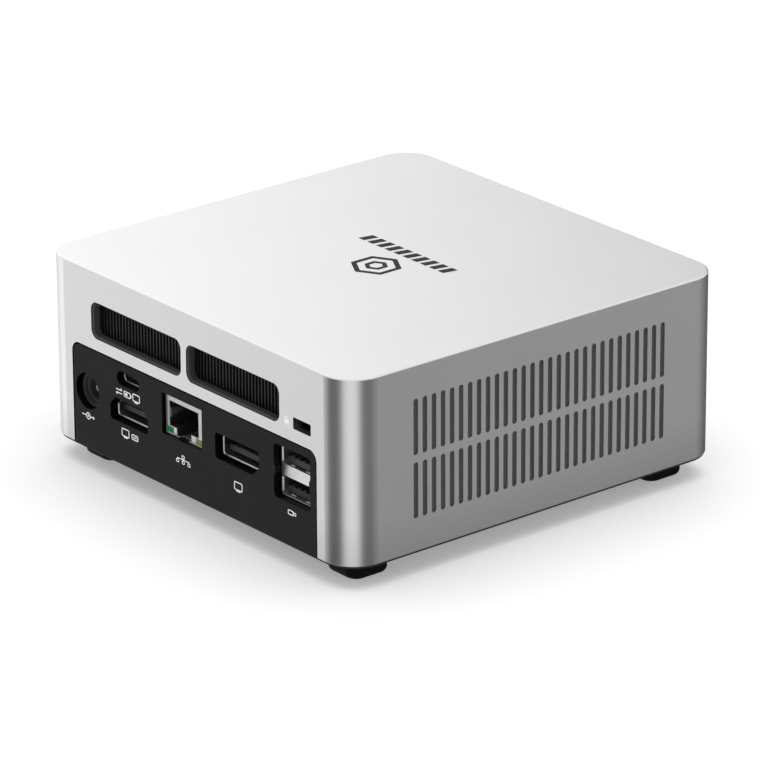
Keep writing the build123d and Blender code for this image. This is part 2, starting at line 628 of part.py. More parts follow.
def storage_card():
    return edge_card(SSD_X, SSD_Y0, SSD_Z, 80.0,
                     [(0, 14, 12, 12), (0, 30, 14, 11), (0, 48, 14, 18), (0, 68, 14, 16)])


def radio_card():
    return edge_card(WIFI_X, WIFI_Y0, WIFI_Z, 30.0, [(0, 14, 17, 17)])


def card_standoffs():
    return group(*[rod(x, y, z + 0.4, BOARD_Z0, 2.6) - rod(x, y, z, BOARD_Z0 + 1, 0.95)
                   for x, y, z in CARD_ENDS])


def card_screws():
    return group(*[screw(x, y, z - 1.4, z + 2.6, 2.4, 1.0, 0.85) for x, y, z in CARD_ENDS])


def cell_holder():
    """Open ring that holds the clock battery under the board."""
    ring = rod(CELL_X, CELL_Y, BOARD_Z0 - 4.6, BOARD_Z0, 11.2)
    return ring - rod(CELL_X, CELL_Y, BOARD_Z0 - 5, BOARD_Z0 - 1.0, 10.1)


def clock_cell():
    """Coin cell, 20 mm across and 3.2 mm thick."""
    cell = rod(CELL_X, CELL_Y, BOARD_Z0 - 4.2, BOARD_Z0 - 1.0, 10.0)
    return fillet(cell.faces().sort_by(Axis.Z)[0].edges(), 0.5)


def antennas():
    """Two flat aerials stuck to the inside of the plastic cover."""
    return group(*[block(x - 14, x + 14, 40, 48, COVER_TOP, COVER_TOP + 0.3)
                   for x in (-24.0, 24.0)])


def aerial_leads():
    """Thin coax leads from the radio card to the aerials, clipped along the cover."""
    leads = []
    high, low = WIFI_Z - 2.6, COVER_TOP + 0.9
    for i, x_end in enumerate((24.0, -24.0)):
        x = WIFI_X - 3 + 6 * i
        y = WIFI_Y0 + 25.5
        row = 37.5 - 2.5 * i
        route = FilletPolyline((x, y, WIFI_Z - 0.4), (x, y, high - 6), (x, y + 5, low),
                               (x, row, low), (x_end, row, low), (x_end, 41.0 - 0.4, low),
                               radius=2.0)
        section = Plane(origin=route @ 0, z_dir=route % 0)
        leads.append(sweep(section * Circle(0.5), path=route))
    return group(*leads)


# ---------------------------------------------------------------- front face
def front_place(x):
    """Turn a rear-facing socket to the front, its mouth just inside the wall."""
    return Pos(x, FRONT + 0.35, FRONT_Z) * Rot(0, 0, 180)


def audio_jack():
    """Headset jack with a 3.5 mm bore."""
    mouth = FRONT + 0.35
    body = along_y(Pos(AUDIO_X, FRONT_Z) * Circle(AUDIO_R), mouth, mouth + 2.5)
    body += block(AUDIO_X - 3.2, AUDIO_X + 3.2, mouth + 2.5, mouth + 13.5,
                  FRONT_Z - 3.0, BOARD_Z0)
    return body - along_y(Pos(AUDIO_X, FRONT_Z) * Circle(1.78), mouth - 1, mouth + 12.5)


def power_button():
    """Round cap with a retaining flange behind the wall."""
    face = FRONT + 0.1
    flange = FRONT + WALL + 0.15
    place = Pos(BUTTON_X, BUTTON_Z)
    cap = along_y(place * Circle(BUTTON_R), face, flange)
    cap = fillet(cap.faces().sort_by(Axis.Y)[0].edges(), 0.3)
    cap += along_y(place * Circle(BUTTON_R + 0.9), flange, flange + 1.0)
    return cap


def switch_plunger():
    """Stem between the cap and the switch dome."""
    place = Pos(BUTTON_X, BUTTON_Z)
    return along_y(place * Circle(1.5), FRONT + WALL + 1.15, SWITCH_FACE + 0.6)


def power_switch():
    """Tactile switch under the board's front edge."""
    body = block(BUTTON_X - 3.1, BUTTON_X + 3.1, SWITCH_FACE, SWITCH_FACE + 3.6,
                 BUTTON_Z - 3.1, BOARD_Z0)
    well = along_y(Pos(BUTTON_X, BUTTON_Z) * Circle(1.7), SWITCH_FACE - 1,
                   SWITCH_FACE + 1.0 + BUTTON_TRAVEL)
    return body - well


def power_lamp():
    """Clear light pipe beside the button."""
    place = Pos(FRONT_LAMP_X, FRONT_Z)
    pipe = along_y(place * Circle(FRONT_LAMP_R), FRONT + 0.15, FRONT + WALL)
    pipe += along_y(place * Circle(1.5), FRONT + WALL, FRONT + WALL + 1.0)
    return pipe + block(FRONT_LAMP_X - 1, FRONT_LAMP_X + 1, FRONT + WALL + 1.0,
                        FRONT + WALL + 6.0, FRONT_Z - 1, BOARD_Z0)


def dust_filters():
    """Fine mesh panels behind the two fields of side slots."""
    length = (SLOT_COUNT - 1) * SLOT_PITCH + SLOT_W + 3.6
    height = SLOT_Z[1] - SLOT_Z[0] + SLOT_L + 3.6
    middle = (SLOT_Z[0] + SLOT_Z[1]) / 2
    sheet = Pos(SLOT_Y, middle) * Rectangle(length, height)
    inner = WIDTH / 2 - THIN_WALL - 0.9
    outer = WIDTH / 2 - THIN_WALL
    return group(along_x(sheet, -outer, -inner), along_x(sheet, inner, outer))


# ---------------------------------------------------------------- build and write
def rear_connectors():
    """All rear sockets, as node name to solid."""
    nodes = {}
    kinds = {"usb_c": usb_c, "hdmi": hdmi, "dp": display_port, "usb_a": usb_a_stack}
    names = {"usb_c": "rear_usb_c", "hdmi": "video_port_a", "dp": "video_port_b",
             "usb_a": "rear_usb_a"}
    for key, make in kinds.items():
        x, z = PORTS[key]
        shell, insert = make(BOARD_Z0 - z)
        place = Pos(x, REAR - PORT_SET, z)
        nodes[names[key] + "_shell"] = place * shell
        nodes[names[key] + "_insert"] = place * insert
    x, z = PORTS["lan"]
    can, core, lamps = lan_jack(BOARD_Z0 - z)
    place = Pos(x, REAR - LAN_SET, z)
    nodes["network_jack_can"] = place * can
    nodes["network_jack_core"] = place * core
    nodes["network_lamp_green"] = place * lamps[0]
    nodes["network_lamp_amber"] = place * lamps[1]
    nodes["dc_jack"], nodes["dc_jack_pin"] = dc_jack()
    return nodes


def front_connectors():
    """Front sockets, lamp, button and switch."""
    rise = BOARD_Z0 - FRONT_Z
    c_shell, c_insert = usb_c(rise)
    a_shell, a_insert = usb_a(rise)
    return {
        "front_usb_c_shell": front_place(FRONT_C_X) * c_shell,
        "front_usb_c_insert": front_place(FRONT_C_X) * c_insert,
        "front_usb_a_shells": group(*[front_place(x) * a_shell for x in FRONT_A_X]),
        "front_usb_a_inserts": group(*[front_place(x) * a_insert for x in FRONT_A_X]),
        "audio_jack": audio_jack(),
        "power_lamp": power_lamp(),
        "power_button": power_button(),
        "switch_plunger": switch_plunger(),
        "power_switch": power_switch(),
    }


def main():
    os.makedirs("parts", exist_ok=True)
    nodes = {
        "casing": casing(),
        "io_panel": io_panel(),
        "exhaust_bezel": exhaust_bezel(),
        "lock_plate": lock_plate(),
        "dust_filters": dust_filters(),
        "bottom_cover": bottom_cover(),
        "bracket_inserts": bracket_inserts(),
        "cover_screws": cover_screws(),
        "main_board": main_board(),
        "board_screws": board_screws(),
        "processor": processor(),
        "cold_plate": cold_plate(),
        "cooler_screws": cooler_screws(),
        "heat_pipes": heat_pipes(),
        "fin_stack": fin_stack(),
        "fan_housing": fan_housing(),
        "fan_cover": fan_cover(),
        "fan_rotor": fan_rotor(),
        "fan_shaft": fan_shaft(),
        "fan_bearing": fan_bearing(),
        "fan_stator": fan_stator(),
        "fan_screws": fan_screws(),
        "memory_sockets": memory_sockets(),
        "memory_modules": memory_modules(),
        "card_sockets": card_sockets(),
        "card_standoffs": card_standoffs(),
        "card_screws": card_screws(),
        "storage_card": storage_card(),
        "radio_card": radio_card(),
        "cell_holder": cell_holder(),
        "clock_cell": clock_cell(),
        "antennas": antennas(),
        "aerial_leads": aerial_leads(),
    }
    places = {"front_right": (1, -1), "front_left": (-1, -1),
              "rear_right": (1, 1), "rear_left": (-1, 1)}
    for name, (sx, sy) in places.items():
        nodes["foot_" + name] = foot(sx * FOOT_X, sy * FOOT_Y)
    nodes.update(rear_connectors())
    nodes.update(front_connectors())
    for node, shape in nodes.items():
        save(node, shape)
    print(len(nodes), "nodes")


main()
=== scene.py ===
import json
import math

import bmesh
import bpy
from mathutils import Matrix, Vector


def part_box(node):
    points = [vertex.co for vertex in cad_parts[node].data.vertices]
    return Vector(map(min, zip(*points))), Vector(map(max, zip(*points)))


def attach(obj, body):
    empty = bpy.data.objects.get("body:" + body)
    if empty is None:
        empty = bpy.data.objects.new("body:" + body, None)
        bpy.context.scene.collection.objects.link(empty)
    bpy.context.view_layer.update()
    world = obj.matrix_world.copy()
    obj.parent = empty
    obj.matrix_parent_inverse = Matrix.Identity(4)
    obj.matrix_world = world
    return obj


# Looks of the mini pc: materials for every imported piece, printed marks, socket
# contacts and other fine pieces, then the studio. Metres, +Z up, rear face +Y.

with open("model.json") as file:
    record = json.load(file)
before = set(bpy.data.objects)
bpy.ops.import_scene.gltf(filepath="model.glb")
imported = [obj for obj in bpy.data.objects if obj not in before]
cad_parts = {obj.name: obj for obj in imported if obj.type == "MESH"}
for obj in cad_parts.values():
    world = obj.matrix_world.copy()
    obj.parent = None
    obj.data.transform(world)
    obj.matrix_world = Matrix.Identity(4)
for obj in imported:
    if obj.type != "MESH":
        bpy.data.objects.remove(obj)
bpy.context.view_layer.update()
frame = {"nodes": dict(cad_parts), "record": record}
MM = 0.001
NODES = frame["nodes"]
ROOT = "chassis"

CASE_LO, CASE_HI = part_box("casing")
REAR_Y, ROOF_Z, EDGE_Z = CASE_HI.y, CASE_HI.z, CASE_LO.z


# ------------------------------------------------------------------ node helpers
def math_node(tree, kind, a, b=0.0):
    """Math node in `tree`; a and b are sockets or plain numbers."""
    node = tree.nodes.new("ShaderNodeMath")
    node.operation = kind
    for socket, value in zip(node.inputs, (a, b)):
        if isinstance(value, (int, float)):
            socket.default_value = value
        else:
            tree.links.new(value, socket)
    return node.outputs[0]


class Shader:
    """One Principled material and short ways to wire texture into it."""

    def __init__(self, name, colour, rough, metallic=0.0, specular=0.5):
        self.mat = bpy.data.materials.new(name)
        self.mat.use_nodes = True
        self.tree = self.mat.node_tree
        self.bsdf = self.tree.nodes["Principled BSDF"]
        self.last_bump = None
        self.set("Base Color", (*colour, 1.0))
        self.set("Roughness", rough)
        self.set("Metallic", metallic)
        self.set("Specular IOR Level", specular)
        self.set("IOR", 1.45)
        self.mat.diffuse_color = (*colour, 1.0)
        self.place = self.tree.nodes.new("ShaderNodeTexCoord").outputs["Object"]

    def set(self, socket, value):
        self.bsdf.inputs[socket].default_value = value

    def link(self, a, b):
        self.tree.links.new(a, b)

    def math(self, kind, a, b=0.0):
        return math_node(self.tree, kind, a, b)

    def span(self, value, low, high, to_low=0.0, to_high=1.0):
        """Map low..high to to_low..to_high, clamped."""
        node = self.tree.nodes.new("ShaderNodeMapRange")
        self.link(value, node.inputs["Value"])
        for socket, number in zip(("From Min", "From Max", "To Min", "To Max"),
                                  (low, high, to_low, to_high)):
            node.inputs[socket].default_value = number
        return node.outputs["Result"]

    def axis(self, name):
        """One coordinate of the surface point, in metres."""
        if not hasattr(self, "split"):
            self.split = self.tree.nodes.new("ShaderNodeSeparateXYZ")
            self.link(self.place, self.split.inputs[0])
        return self.split.outputs[name]

    def noise(self, grain, detail=3.0, rough=0.55, stretch=None):
        """Noise whose features are about `grain` metres across."""
        node = self.tree.nodes.new("ShaderNodeTexNoise")
        node.inputs["Scale"].default_value = 1.0 / grain
        node.inputs["Detail"].default_value = detail
        node.inputs["Roughness"].default_value = rough
        where = self.place
        if stretch:
            mapping = self.tree.nodes.new("ShaderNodeMapping")
            mapping.inputs["Scale"].default_value = stretch
            self.link(self.place, mapping.inputs["Vector"])
            where = mapping.outputs[0]
        self.link(where, node.inputs["Vector"])
        return node.outputs["Fac"]

    def cells(self, grain):
        """Rounded pits about `grain` metres across."""
        node = self.tree.nodes.new("ShaderNodeTexVoronoi")
        node.inputs["Scale"].default_value = 1.0 / grain
        self.link(self.place, node.inputs["Vector"])
        return node.outputs["Distance"]

    def mix(self, factor, a, b):
        """Blend of two colours, each a socket or a plain colour."""
        node = self.tree.nodes.new("ShaderNodeMix")
        node.data_type = "RGBA"
        self.link(factor, node.inputs["Factor"])
        for socket, value in ((node.inputs[6], a), (node.inputs[7], b)):
            if isinstance(value, (tuple, list)):
                socket.default_value = (*value[:3], 1.0)
            else:
                self.link(value, socket)
        return node.outputs[2]

    def tint(self, factor, a, b):
        """Colour between a and b by a 0..1 value."""
        self.link(self.mix(factor, a, b), self.bsdf.inputs["Base Color"])
        return self

    def roughen(self, factor, low, high):
        """Roughness between low and high by a 0..1 value."""
        self.link(self.span(factor, 0.0, 1.0, low, high), self.bsdf.inputs["Roughness"])
        return self

    def bump(self, height, depth, strength=1.0):
        """Relief `depth` metres deep, on top of any bump laid before."""
        node = self.tree.nodes.new("ShaderNodeBump")
        node.inputs["Strength"].default_value = strength
        node.inputs["Distance"].default_value = depth
        self.link(height, node.inputs["Height"])
        if self.last_bump:
            self.link(self.last_bump, node.inputs["Normal"])
        self.last_bump = node.outputs[0]
        self.link(self.last_bump, self.bsdf.inputs["Normal"])
        return self


def shade(colour, factor):
    return tuple(min(1.0, c * factor) for c in colour)


# ------------------------------------------------------------------ materials
def blasted_aluminium():
    """Clear anodised, bead-blasted: fine pits, faint clouding, and painted shade that darkens
    it towards the lower edge, in place of the floor's shadow it would mirror there.
    """
    base = (0.80, 0.80, 0.805)
    s = Shader("anodised_aluminium", base, 0.31, metallic=1.0)
    pits = s.cells(0.00022)
    grain = s.noise(0.00012, 2.0, 0.6)
    cloud = s.noise(0.03, 3.0, 0.5)
    mixed = s.math("ADD", s.math("MULTIPLY", grain, 0.6), s.math("MULTIPLY", cloud, 0.4))
    tone = s.mix(s.span(mixed, 0.3, 0.7), shade(base, 0.97), shade(base, 1.02))
    # Painted shade: about 18 % darker at the lower edge, fading out 12 mm up, standing in for
    # the mirrored floor shadow.
    s.tint(s.span(s.axis("Z"), EDGE_Z - 0.003, EDGE_Z + 0.012), shade(base, 0.77), tone)
    s.roughen(s.math("ADD", s.math("MULTIPLY", grain, 0.7), s.math("MULTIPLY", cloud, 0.3)),
              0.27, 0.37)
    s.bump(pits, 0.000006, 0.35)
    return s.mat


def moulded_plastic(name, base, rough, grain, depth, spread=0.12, specular=0.5, face=None):
    """Spark-eroded mould texture; `face` is the Y of a front face, and the painted shade
    factors of that face and of the walls that run back from it."""
    s = Shader(name, base, rough, specular=specular)
    cells = s.cells(grain)
    fine = s.noise(grain * 0.6, 3.0, 0.6)
    cloud = s.noise(0.012, 2.0)
    colour = s.mix(s.span(cloud, 0.35, 0.65), shade(base, 0.86), shade(base, 1.16))
    # Painted shade: the colour is scaled by one factor on the front face and another on the
    # walls behind it, standing in for how light falls on each.
    if face:
        front, painted_face_shade, painted_wall_shade = face
        level = s.span(s.axis("Y"), front - 0.0001, front - 0.00002, painted_wall_shade, painted_face_shade)
        colour = s.mix(level, (0.0, 0.0, 0.0), colour)
    s.link(colour, s.bsdf.inputs["Base Color"])
    s.roughen(fine, rough - spread / 2, rough + spread / 2)
    s.bump(cells, depth, 0.6)
    s.bump(fine, depth * 0.5, 0.5)
    return s.mat


def woven_mesh():
    """Fine dust mesh: two crossing sets of threads with dark holes."""
    s = Shader("filter_mesh", (0.075, 0.075, 0.077), 0.55)
    pitch = 0.00042
    turn = 2 * math.pi / pitch
    across = s.math("SINE", s.math("MULTIPLY", s.axis("Y"), turn))
    along = s.math("SINE", s.math("MULTIPLY", s.axis("Z"), turn))
    thread = s.math("MAXIMUM", across, along)
    s.tint(s.span(thread, -0.35, 0.35), (0.012, 0.012, 0.012), (0.105, 0.105, 0.108))
    s.roughen(s.noise(0.0006), 0.42, 0.62)
    s.bump(thread, 0.00006, 0.8)
    return s.mat


def rubber():
    """Matt moulded rubber with a little dust."""
    s = Shader("foot_rubber", (0.002, 0.002, 0.002), 0.62, specular=0.12)
    dust = s.noise(0.0035, 4.0, 0.6)
    fine = s.noise(0.00025, 2.0, 0.6)
    s.tint(s.span(dust, 0.35, 0.75), (0.0014, 0.0014, 0.0014), (0.005, 0.005, 0.0049))
    s.roughen(dust, 0.52, 0.74)
    s.bump(fine, 0.00003, 0.5)
    return s.mat


def sheet_metal(name, base, rough, stretch=(1, 9, 1)):
    """Rolled sheet: fine drawn lines, small bright and dull patches."""
    s = Shader(name, base, rough, metallic=1.0)
    lines = s.noise(0.0006, 3.0, 0.6, stretch=stretch)
    patch = s.noise(0.004, 2.0)
    s.tint(s.span(patch, 0.3, 0.7), shade(base, 0.9), shade(base, 1.06))
    s.roughen(lines, rough - 0.07, rough + 0.09)
    s.bump(lines, 0.000008, 0.5)
    return s.mat


def turned_metal():
    """Button face turned on a lathe: fine rings about the button's own axis."""
    base = (0.74, 0.74, 0.75)
    s = Shader("button_metal", base, 0.27, metallic=1.0)
    low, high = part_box("power_button")
    middle = (low + high) / 2
    dx = s.math("SUBTRACT", s.axis("X"), middle.x)
    dz = s.math("SUBTRACT", s.axis("Z"), middle.z)
    radius = s.math("SQRT", s.math("ADD", s.math("MULTIPLY", dx, dx),
                                   s.math("MULTIPLY", dz, dz)))
    rings = s.math("SINE", s.math("MULTIPLY", radius, 2 * math.pi / 0.00022))
    s.tint(s.span(rings, -1, 1), shade(base, 0.93), shade(base, 1.03))
    s.roughen(s.span(rings, -1, 1), 0.22, 0.36)
    s.bump(rings, 0.000008, 0.5)
    return s.mat


def tinted_lamp(name, colour, glow):
    """Clear tinted light pipe, slightly frosted at its face."""
    s = Shader(name, colour, 0.4, specular=0.12)
    s.tint(s.span(s.noise(0.0009), 0.3, 0.7), shade(colour, 0.75), shade(colour, 1.2))
    s.roughen(s.noise(0.0003), 0.32, 0.52)
    s.set("Emission Color", (*colour, 1.0))
    s.set("Emission Strength", glow)
    s.set("Coat Weight", 0.04)
    return s.mat


def coated_fins():
    """Thin black oxide on the cooler's fins, streaked along them."""
    s = Shader("fin_coating", (0.03, 0.03, 0.032), 0.42, metallic=0.6)
    streak = s.noise(0.0012, 3.0, 0.6, stretch=(1, 1, 0.25))
    s.tint(s.span(streak, 0.3, 0.7), (0.013, 0.013, 0.0135), (0.030, 0.030, 0.031))
    s.roughen(streak, 0.34, 0.52)
    s.bump(streak, 0.00002, 0.4)
    return s.mat


def circuit_board():
    """Dark solder mask over faint copper tracks."""
    s = Shader("circuit_board", (0.012, 0.045, 0.03), 0.33)
    tracks = s.noise(0.0016, 1.0, 0.4)
    lines = s.math("LESS_THAN", s.math("ABSOLUTE", s.math("SUBTRACT", tracks, 0.5)), 0.018)
    s.tint(lines, (0.010, 0.040, 0.028), (0.025, 0.105, 0.065))
    s.bump(lines, 0.00002, 0.5)
    s.roughen(s.noise(0.002), 0.27, 0.42)
    return s.mat


def machined(name, base, rough):
    """Turned or drawn metal: fine lines, and slightly darker aged patches."""
    s = Shader(name, base, rough, metallic=1.0)
    lines = s.noise(0.0004, 3.0, 0.6, stretch=(1, 1, 7))
    age = s.noise(0.003, 3.0)
    s.tint(s.span(age, 0.35, 0.7), base, shade(base, 0.78))
    s.roughen(lines, rough - 0.06, rough + 0.1)
    s.bump(lines, 0.000008, 0.5)
    return s.mat


def coax_jacket():
    """Matt jacket of the thin coax leads."""
    s = Shader("lead_jacket", (0.02, 0.02, 0.02), 0.5)
    s.tint(s.span(s.noise(0.001), 0.3, 0.7), (0.014, 0.014, 0.014), (0.03, 0.03, 0.03))
    s.bump(s.noise(0.0003), 0.00002, 0.5)
    return s.mat


def printed_ink(name, base, glow, specular):
    """Screen-printed ink: a slightly uneven, matt film; a nonzero `glow` is painted light, a
    self-lit brightness the ink has under no lamp.
    """
    s = Shader(name, base, 0.55, specular=specular)
    s.set("Emission Color", (*base, 1.0))
    s.set("Emission Strength", glow)
    grain = s.noise(0.00018, 3.0, 0.6)
    s.tint(s.span(grain, 0.3, 0.7), shade(base, 0.88), base)
    s.roughen(grain, 0.45, 0.65)
    s.bump(grain, 0.000006, 0.5)
    return s.mat


MATERIALS = {
    "anodised_aluminium": blasted_aluminium(),
    # The panel's walls behind its face are painted near black (x0.05): painted shade in the gap
    # round the panel.
    "panel_plastic": moulded_plastic("panel_plastic", (0.0042, 0.0042, 0.004), 0.52,
                                     0.00028, 0.000022, specular=0.18,
                                     face=(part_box("io_panel")[1].y, 1.0, 0.05)),
    # The exhaust bezel's front face is painted darker (x0.35) than its walls: painted shade on
    # its rim.
    "vent_plastic": moulded_plastic("vent_plastic", (0.062, 0.062, 0.062), 0.5,
                                    0.0003, 0.00002, specular=0.35,
                                    face=(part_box("exhaust_bezel")[1].y, 0.35, 1.0)),
    "cover_plastic": moulded_plastic("cover_plastic", (0.014, 0.014, 0.0145), 0.55,
                                     0.00045, 0.00004),
    "port_plastic": moulded_plastic("port_plastic", (0.016, 0.016, 0.0165), 0.42,
                                    0.0003, 0.000012),
    "fan_plastic": moulded_plastic("fan_plastic", (0.016, 0.016, 0.017), 0.5,
                                   0.0003, 0.00002),
    "chip_package": moulded_plastic("chip_package", (0.015, 0.015, 0.015), 0.58,
                                    0.00015, 0.00001),
    "aerial_film": moulded_plastic("aerial_film", (0.05, 0.038, 0.02), 0.35,
                                   0.0006, 0.00001),
    "filter_mesh": woven_mesh(),
    "foot_rubber": rubber(),
    "bright_steel": sheet_metal("bright_steel", (0.60, 0.60, 0.61), 0.33),
    "port_metal": sheet_metal("port_metal", (0.90, 0.90, 0.895), 0.38),
    "can_metal": sheet_metal("can_metal", (0.68, 0.68, 0.675), 0.40),
    "port_steel": sheet_metal("port_steel", (0.50, 0.50, 0.505), 0.36),
    "cell_steel": sheet_metal("cell_steel", (0.66, 0.66, 0.65), 0.26),
    "lamp_green": tinted_lamp("lamp_green", (0.002, 0.16, 0.042), 0.10),
    "lamp_amber": tinted_lamp("lamp_amber", (0.21, 0.22, 0.035), 0.08),
    "lamp_clear": tinted_lamp("lamp_clear", (0.70, 0.74, 0.78), 0.0),
    "button_metal": turned_metal(),
    "brass": machined("brass", (0.66, 0.46, 0.20), 0.32),
    "gold_pin": machined("gold_pin", (0.38, 0.33, 0.24), 0.34),
    "copper": machined("copper", (0.70, 0.34, 0.20), 0.34),
    "winding": machined("winding", (0.42, 0.15, 0.06), 0.38),
    "fin_coating": coated_fins(),
    "circuit_board": circuit_board(),
    "lead_jacket": coax_jacket(),
    # The white ink's glow of 0.18 is painted light that brightens the marks.
    "white_ink": printed_ink("white_ink", (0.88, 0.88, 0.87), 0.18, 0.5),
    "grey_ink": printed_ink("grey_ink", (0.020, 0.020, 0.022), 0.0, 0.15),
}


# Pieces whose finish differs from others of their material slot: the network jack's can has its
# own, dimmer plating; the power jack takes the lighter vent plastic, painted light that lifts
# its shaded bore.
OWN_FINISH_OR_PAINTED_LIGHT = {"dc_jack": "vent_plastic", "network_jack_can": "can_metal"}


def dress_nodes():
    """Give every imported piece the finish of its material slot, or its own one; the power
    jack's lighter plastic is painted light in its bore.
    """
    for part in frame["record"]["subparts"]:
        node = NODES[part["node"]]
        finish = MATERIALS[OWN_FINISH_OR_PAINTED_LIGHT.get(part["node"], part["material_slot"])]
        if node.material_slots:
            for slot in node.material_slots:
                slot.material = finish
        else:
            node.data.materials.append(finish)


# ------------------------------------------------------------------ mesh helpers
def make_piece(name, mesh_maker, material, body=ROOT, place=Matrix()):
    """Build one piece with bmesh, set it in place and let it ride on its body."""
    bm = bmesh.new()
    mesh_maker(bm)
    bmesh.ops.recalc_face_normals(bm, faces=bm.faces)
    bmesh.ops.transform(bm, matrix=place, verts=bm.verts)
    mesh = bpy.data.meshes.new(name)
    bm.to_mesh(mesh)
    bm.free()
    mesh.materials.append(MATERIALS[material])
    piece = bpy.data.objects.new(name, mesh)
    bpy.context.scene.collection.objects.link(piece)
    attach(piece, body)
    return piece


def prism(bm, outline, low, high, bevel=0.0):
    """Closed solid over a flat outline, between two heights, rims softened."""
    base = [bm.verts.new((x, y, low)) for x, y in outline]
    face = bm.faces.new(base)
    top = bmesh.ops.extrude_face_region(bm, geom=[face])
    raised = [v for v in top["geom"] if isinstance(v, bmesh.types.BMVert)]
    bmesh.ops.translate(bm, verts=raised, vec=(0, 0, high - low))
    if bevel:
        lid = [e for e in bm.edges if all(v in raised for v in e.verts)]
        bmesh.ops.bevel(bm, geom=lid, offset=bevel, segments=2, profile=0.6,
                        affect="EDGES")


def ring_points(radius, count, start=0.0):
    """Corners of a regular polygon about the origin."""
    return [(radius * math.cos(start + 2 * math.pi * i / count),
             radius * math.sin(start + 2 * math.pi * i / count))
            for i in range(count)]


def loop_band(bm, outer, inner, low, high):
    """Closed band between two outlines with the same number of points."""
    rows = [[bm.verts.new((x, y, z)) for x, y in ring]
            for ring, z in ((outer, low), (outer, high), (inner, high), (inner, low))]
    count = len(outer)
    for a, b in zip(rows, rows[1:] + rows[:1]):
        for i in range(count):
            j = (i + 1) % count
            bm.faces.new((a[i], a[j], b[j], b[i]))


def stroke(bm, points, width, low, high, closed=False):
    """Line of even width with mitred turns, as a closed solid."""
    pts = [Vector(p) for p in points]
    count = len(pts)
    sides = []
    for i, p in enumerate(pts):
        back = pts[i - 1] if (i or closed) else None
        ahead = pts[(i + 1) % count] if (i + 1 < count or closed) else None
        d0 = (p - back).normalized() if back is not None else (ahead - p).normalized()
        d1 = (ahead - p).normalized() if ahead is not None else d0
        n0, n1 = Vector((-d0.y, d0.x)), Vector((-d1.y, d1.x))
        mitre = (n0 + n1).normalized()
        reach = width / 2 / max(0.3, mitre.dot(n0))
        sides.append((p + mitre * reach, p - mitre * reach))
    if closed:
        loop_band(bm, [tuple(a) for a, b in sides], [tuple(b) for a, b in sides], low, high)
        return
    outline = [tuple(a) for a, b in sides] + [tuple(b) for a, b in reversed(sides)]
    prism(bm, outline, low, high)


def rounded(width, height, radius, steps=6):
    """Outline of a rounded rectangle about the origin."""
    points = []
    for k, (sx, sy) in enumerate(((1, 1), (-1, 1), (-1, -1), (1, -1))):
        cx, cy = sx * (width / 2 - radius), sy * (height / 2 - radius)
        for i in range(steps + 1):
            turn = math.pi / 2 * (k + i / steps)
            points.append((cx + radius * math.cos(turn), cy + radius * math.sin(turn)))
    return points


def shifted(points, dx, dy):
    return [(x + dx, y + dy) for x, y in points]


def swing(bm, first, place):
    """Send every vertex made since the first `first` ones to place(its position)."""
    bm.verts.ensure_lookup_table()
    for vert in bm.verts[first:]:
        vert.co = place(vert.co)


def basis(origin, x_axis, y_axis):
    """Matrix that sets local millimetres in place, local Z out of the surface."""
    x, y = Vector(x_axis), Vector(y_axis)
    z = x.cross(y)
    turn = Matrix((x, y, z)).transposed().to_4x4()
    return Matrix.Translation(origin) @ turn @ Matrix.Scale(MM, 4)


def on_rear(x, z, y=REAR_Y):
    """Rear face, drawn as someone behind the machine sees it."""
    return basis((x * MM, y, z * MM + EDGE_Z), (-1, 0, 0), (0, 0, 1))


def on_roof(x, y):
    """Roof, drawn as someone above the machine sees it."""
    return basis((x * MM, y * MM, ROOF_Z), (1, 0, 0), (0, 1, 0))


INK = 0.03                                       # thickness of printed marks, mm


# ------------------------------------------------------------------ printed marks
def hexagon(radius):
    return ring_points(radius, 6, math.pi / 6)


def print_roof_mark():
    """Plain hexagon mark and a row of slanted bars, in dark grey ink."""
    def mark(bm):
        for outer, inner in ((7.1, 5.5), (3.3, 1.9)):
            loop_band(bm, hexagon(outer), hexagon(inner), 0.0, INK)
    make_piece("roof_mark", mark, "grey_ink", place=on_roof(-2.6, 3.6))

    def bars(bm):
        count, pitch, width, height, slant = 10, 3.62, 2.3, 4.2, 0.9
        for i in range(count):
            x = (i - (count - 1) / 2) * pitch
            outline = [(-width / 2 - slant / 2, -height / 2),
                       (width / 2 - slant / 2, -height / 2),
                       (width / 2 + slant / 2, height / 2),
                       (-width / 2 + slant / 2, height / 2)]
            prism(bm, shifted(outline, x, 0), 0.0, INK)
    make_piece("roof_bars", bars, "grey_ink", place=on_roof(-1.25, -8.2))


LINE = 0.28                                      # line width of the small pictograms


def screen_icon(bm, x, size=1.0):
    stroke(bm, shifted(rounded(3.0 * size, 2.0 * size, 0.3, 3), x, 0.15), LINE, 0, INK, True)
    stroke(bm, [(x, -0.85 * size), (x, -1.15 * size)], LINE, 0, INK)
    stroke(bm, [(x - 0.8 * size, -1.2 * size), (x + 0.8 * size, -1.2 * size)], LINE, 0, INK)


def battery_icon(bm, x):
    stroke(bm, shifted(rounded(2.7, 1.4, 0.3, 3), x, 0), LINE, 0, INK, True)
    prism(bm, shifted(rounded(0.35, 0.7, 0.1, 2), x + 1.7, 0), 0, INK)
    prism(bm, shifted(rounded(1.1, 0.6, 0.1, 2), x - 0.4, 0), 0, INK)


def arrows_icon(bm, x):
    for side in (-1, 1):
        stroke(bm, [(x - 1.3 * side, 0.45 * side), (x + 1.3 * side, 0.45 * side)], LINE, 0, INK)
        stroke(bm, [(x + 0.7 * side, 0.95 * side), (x + 1.3 * side, 0.45 * side)],
               LINE, 0, INK)


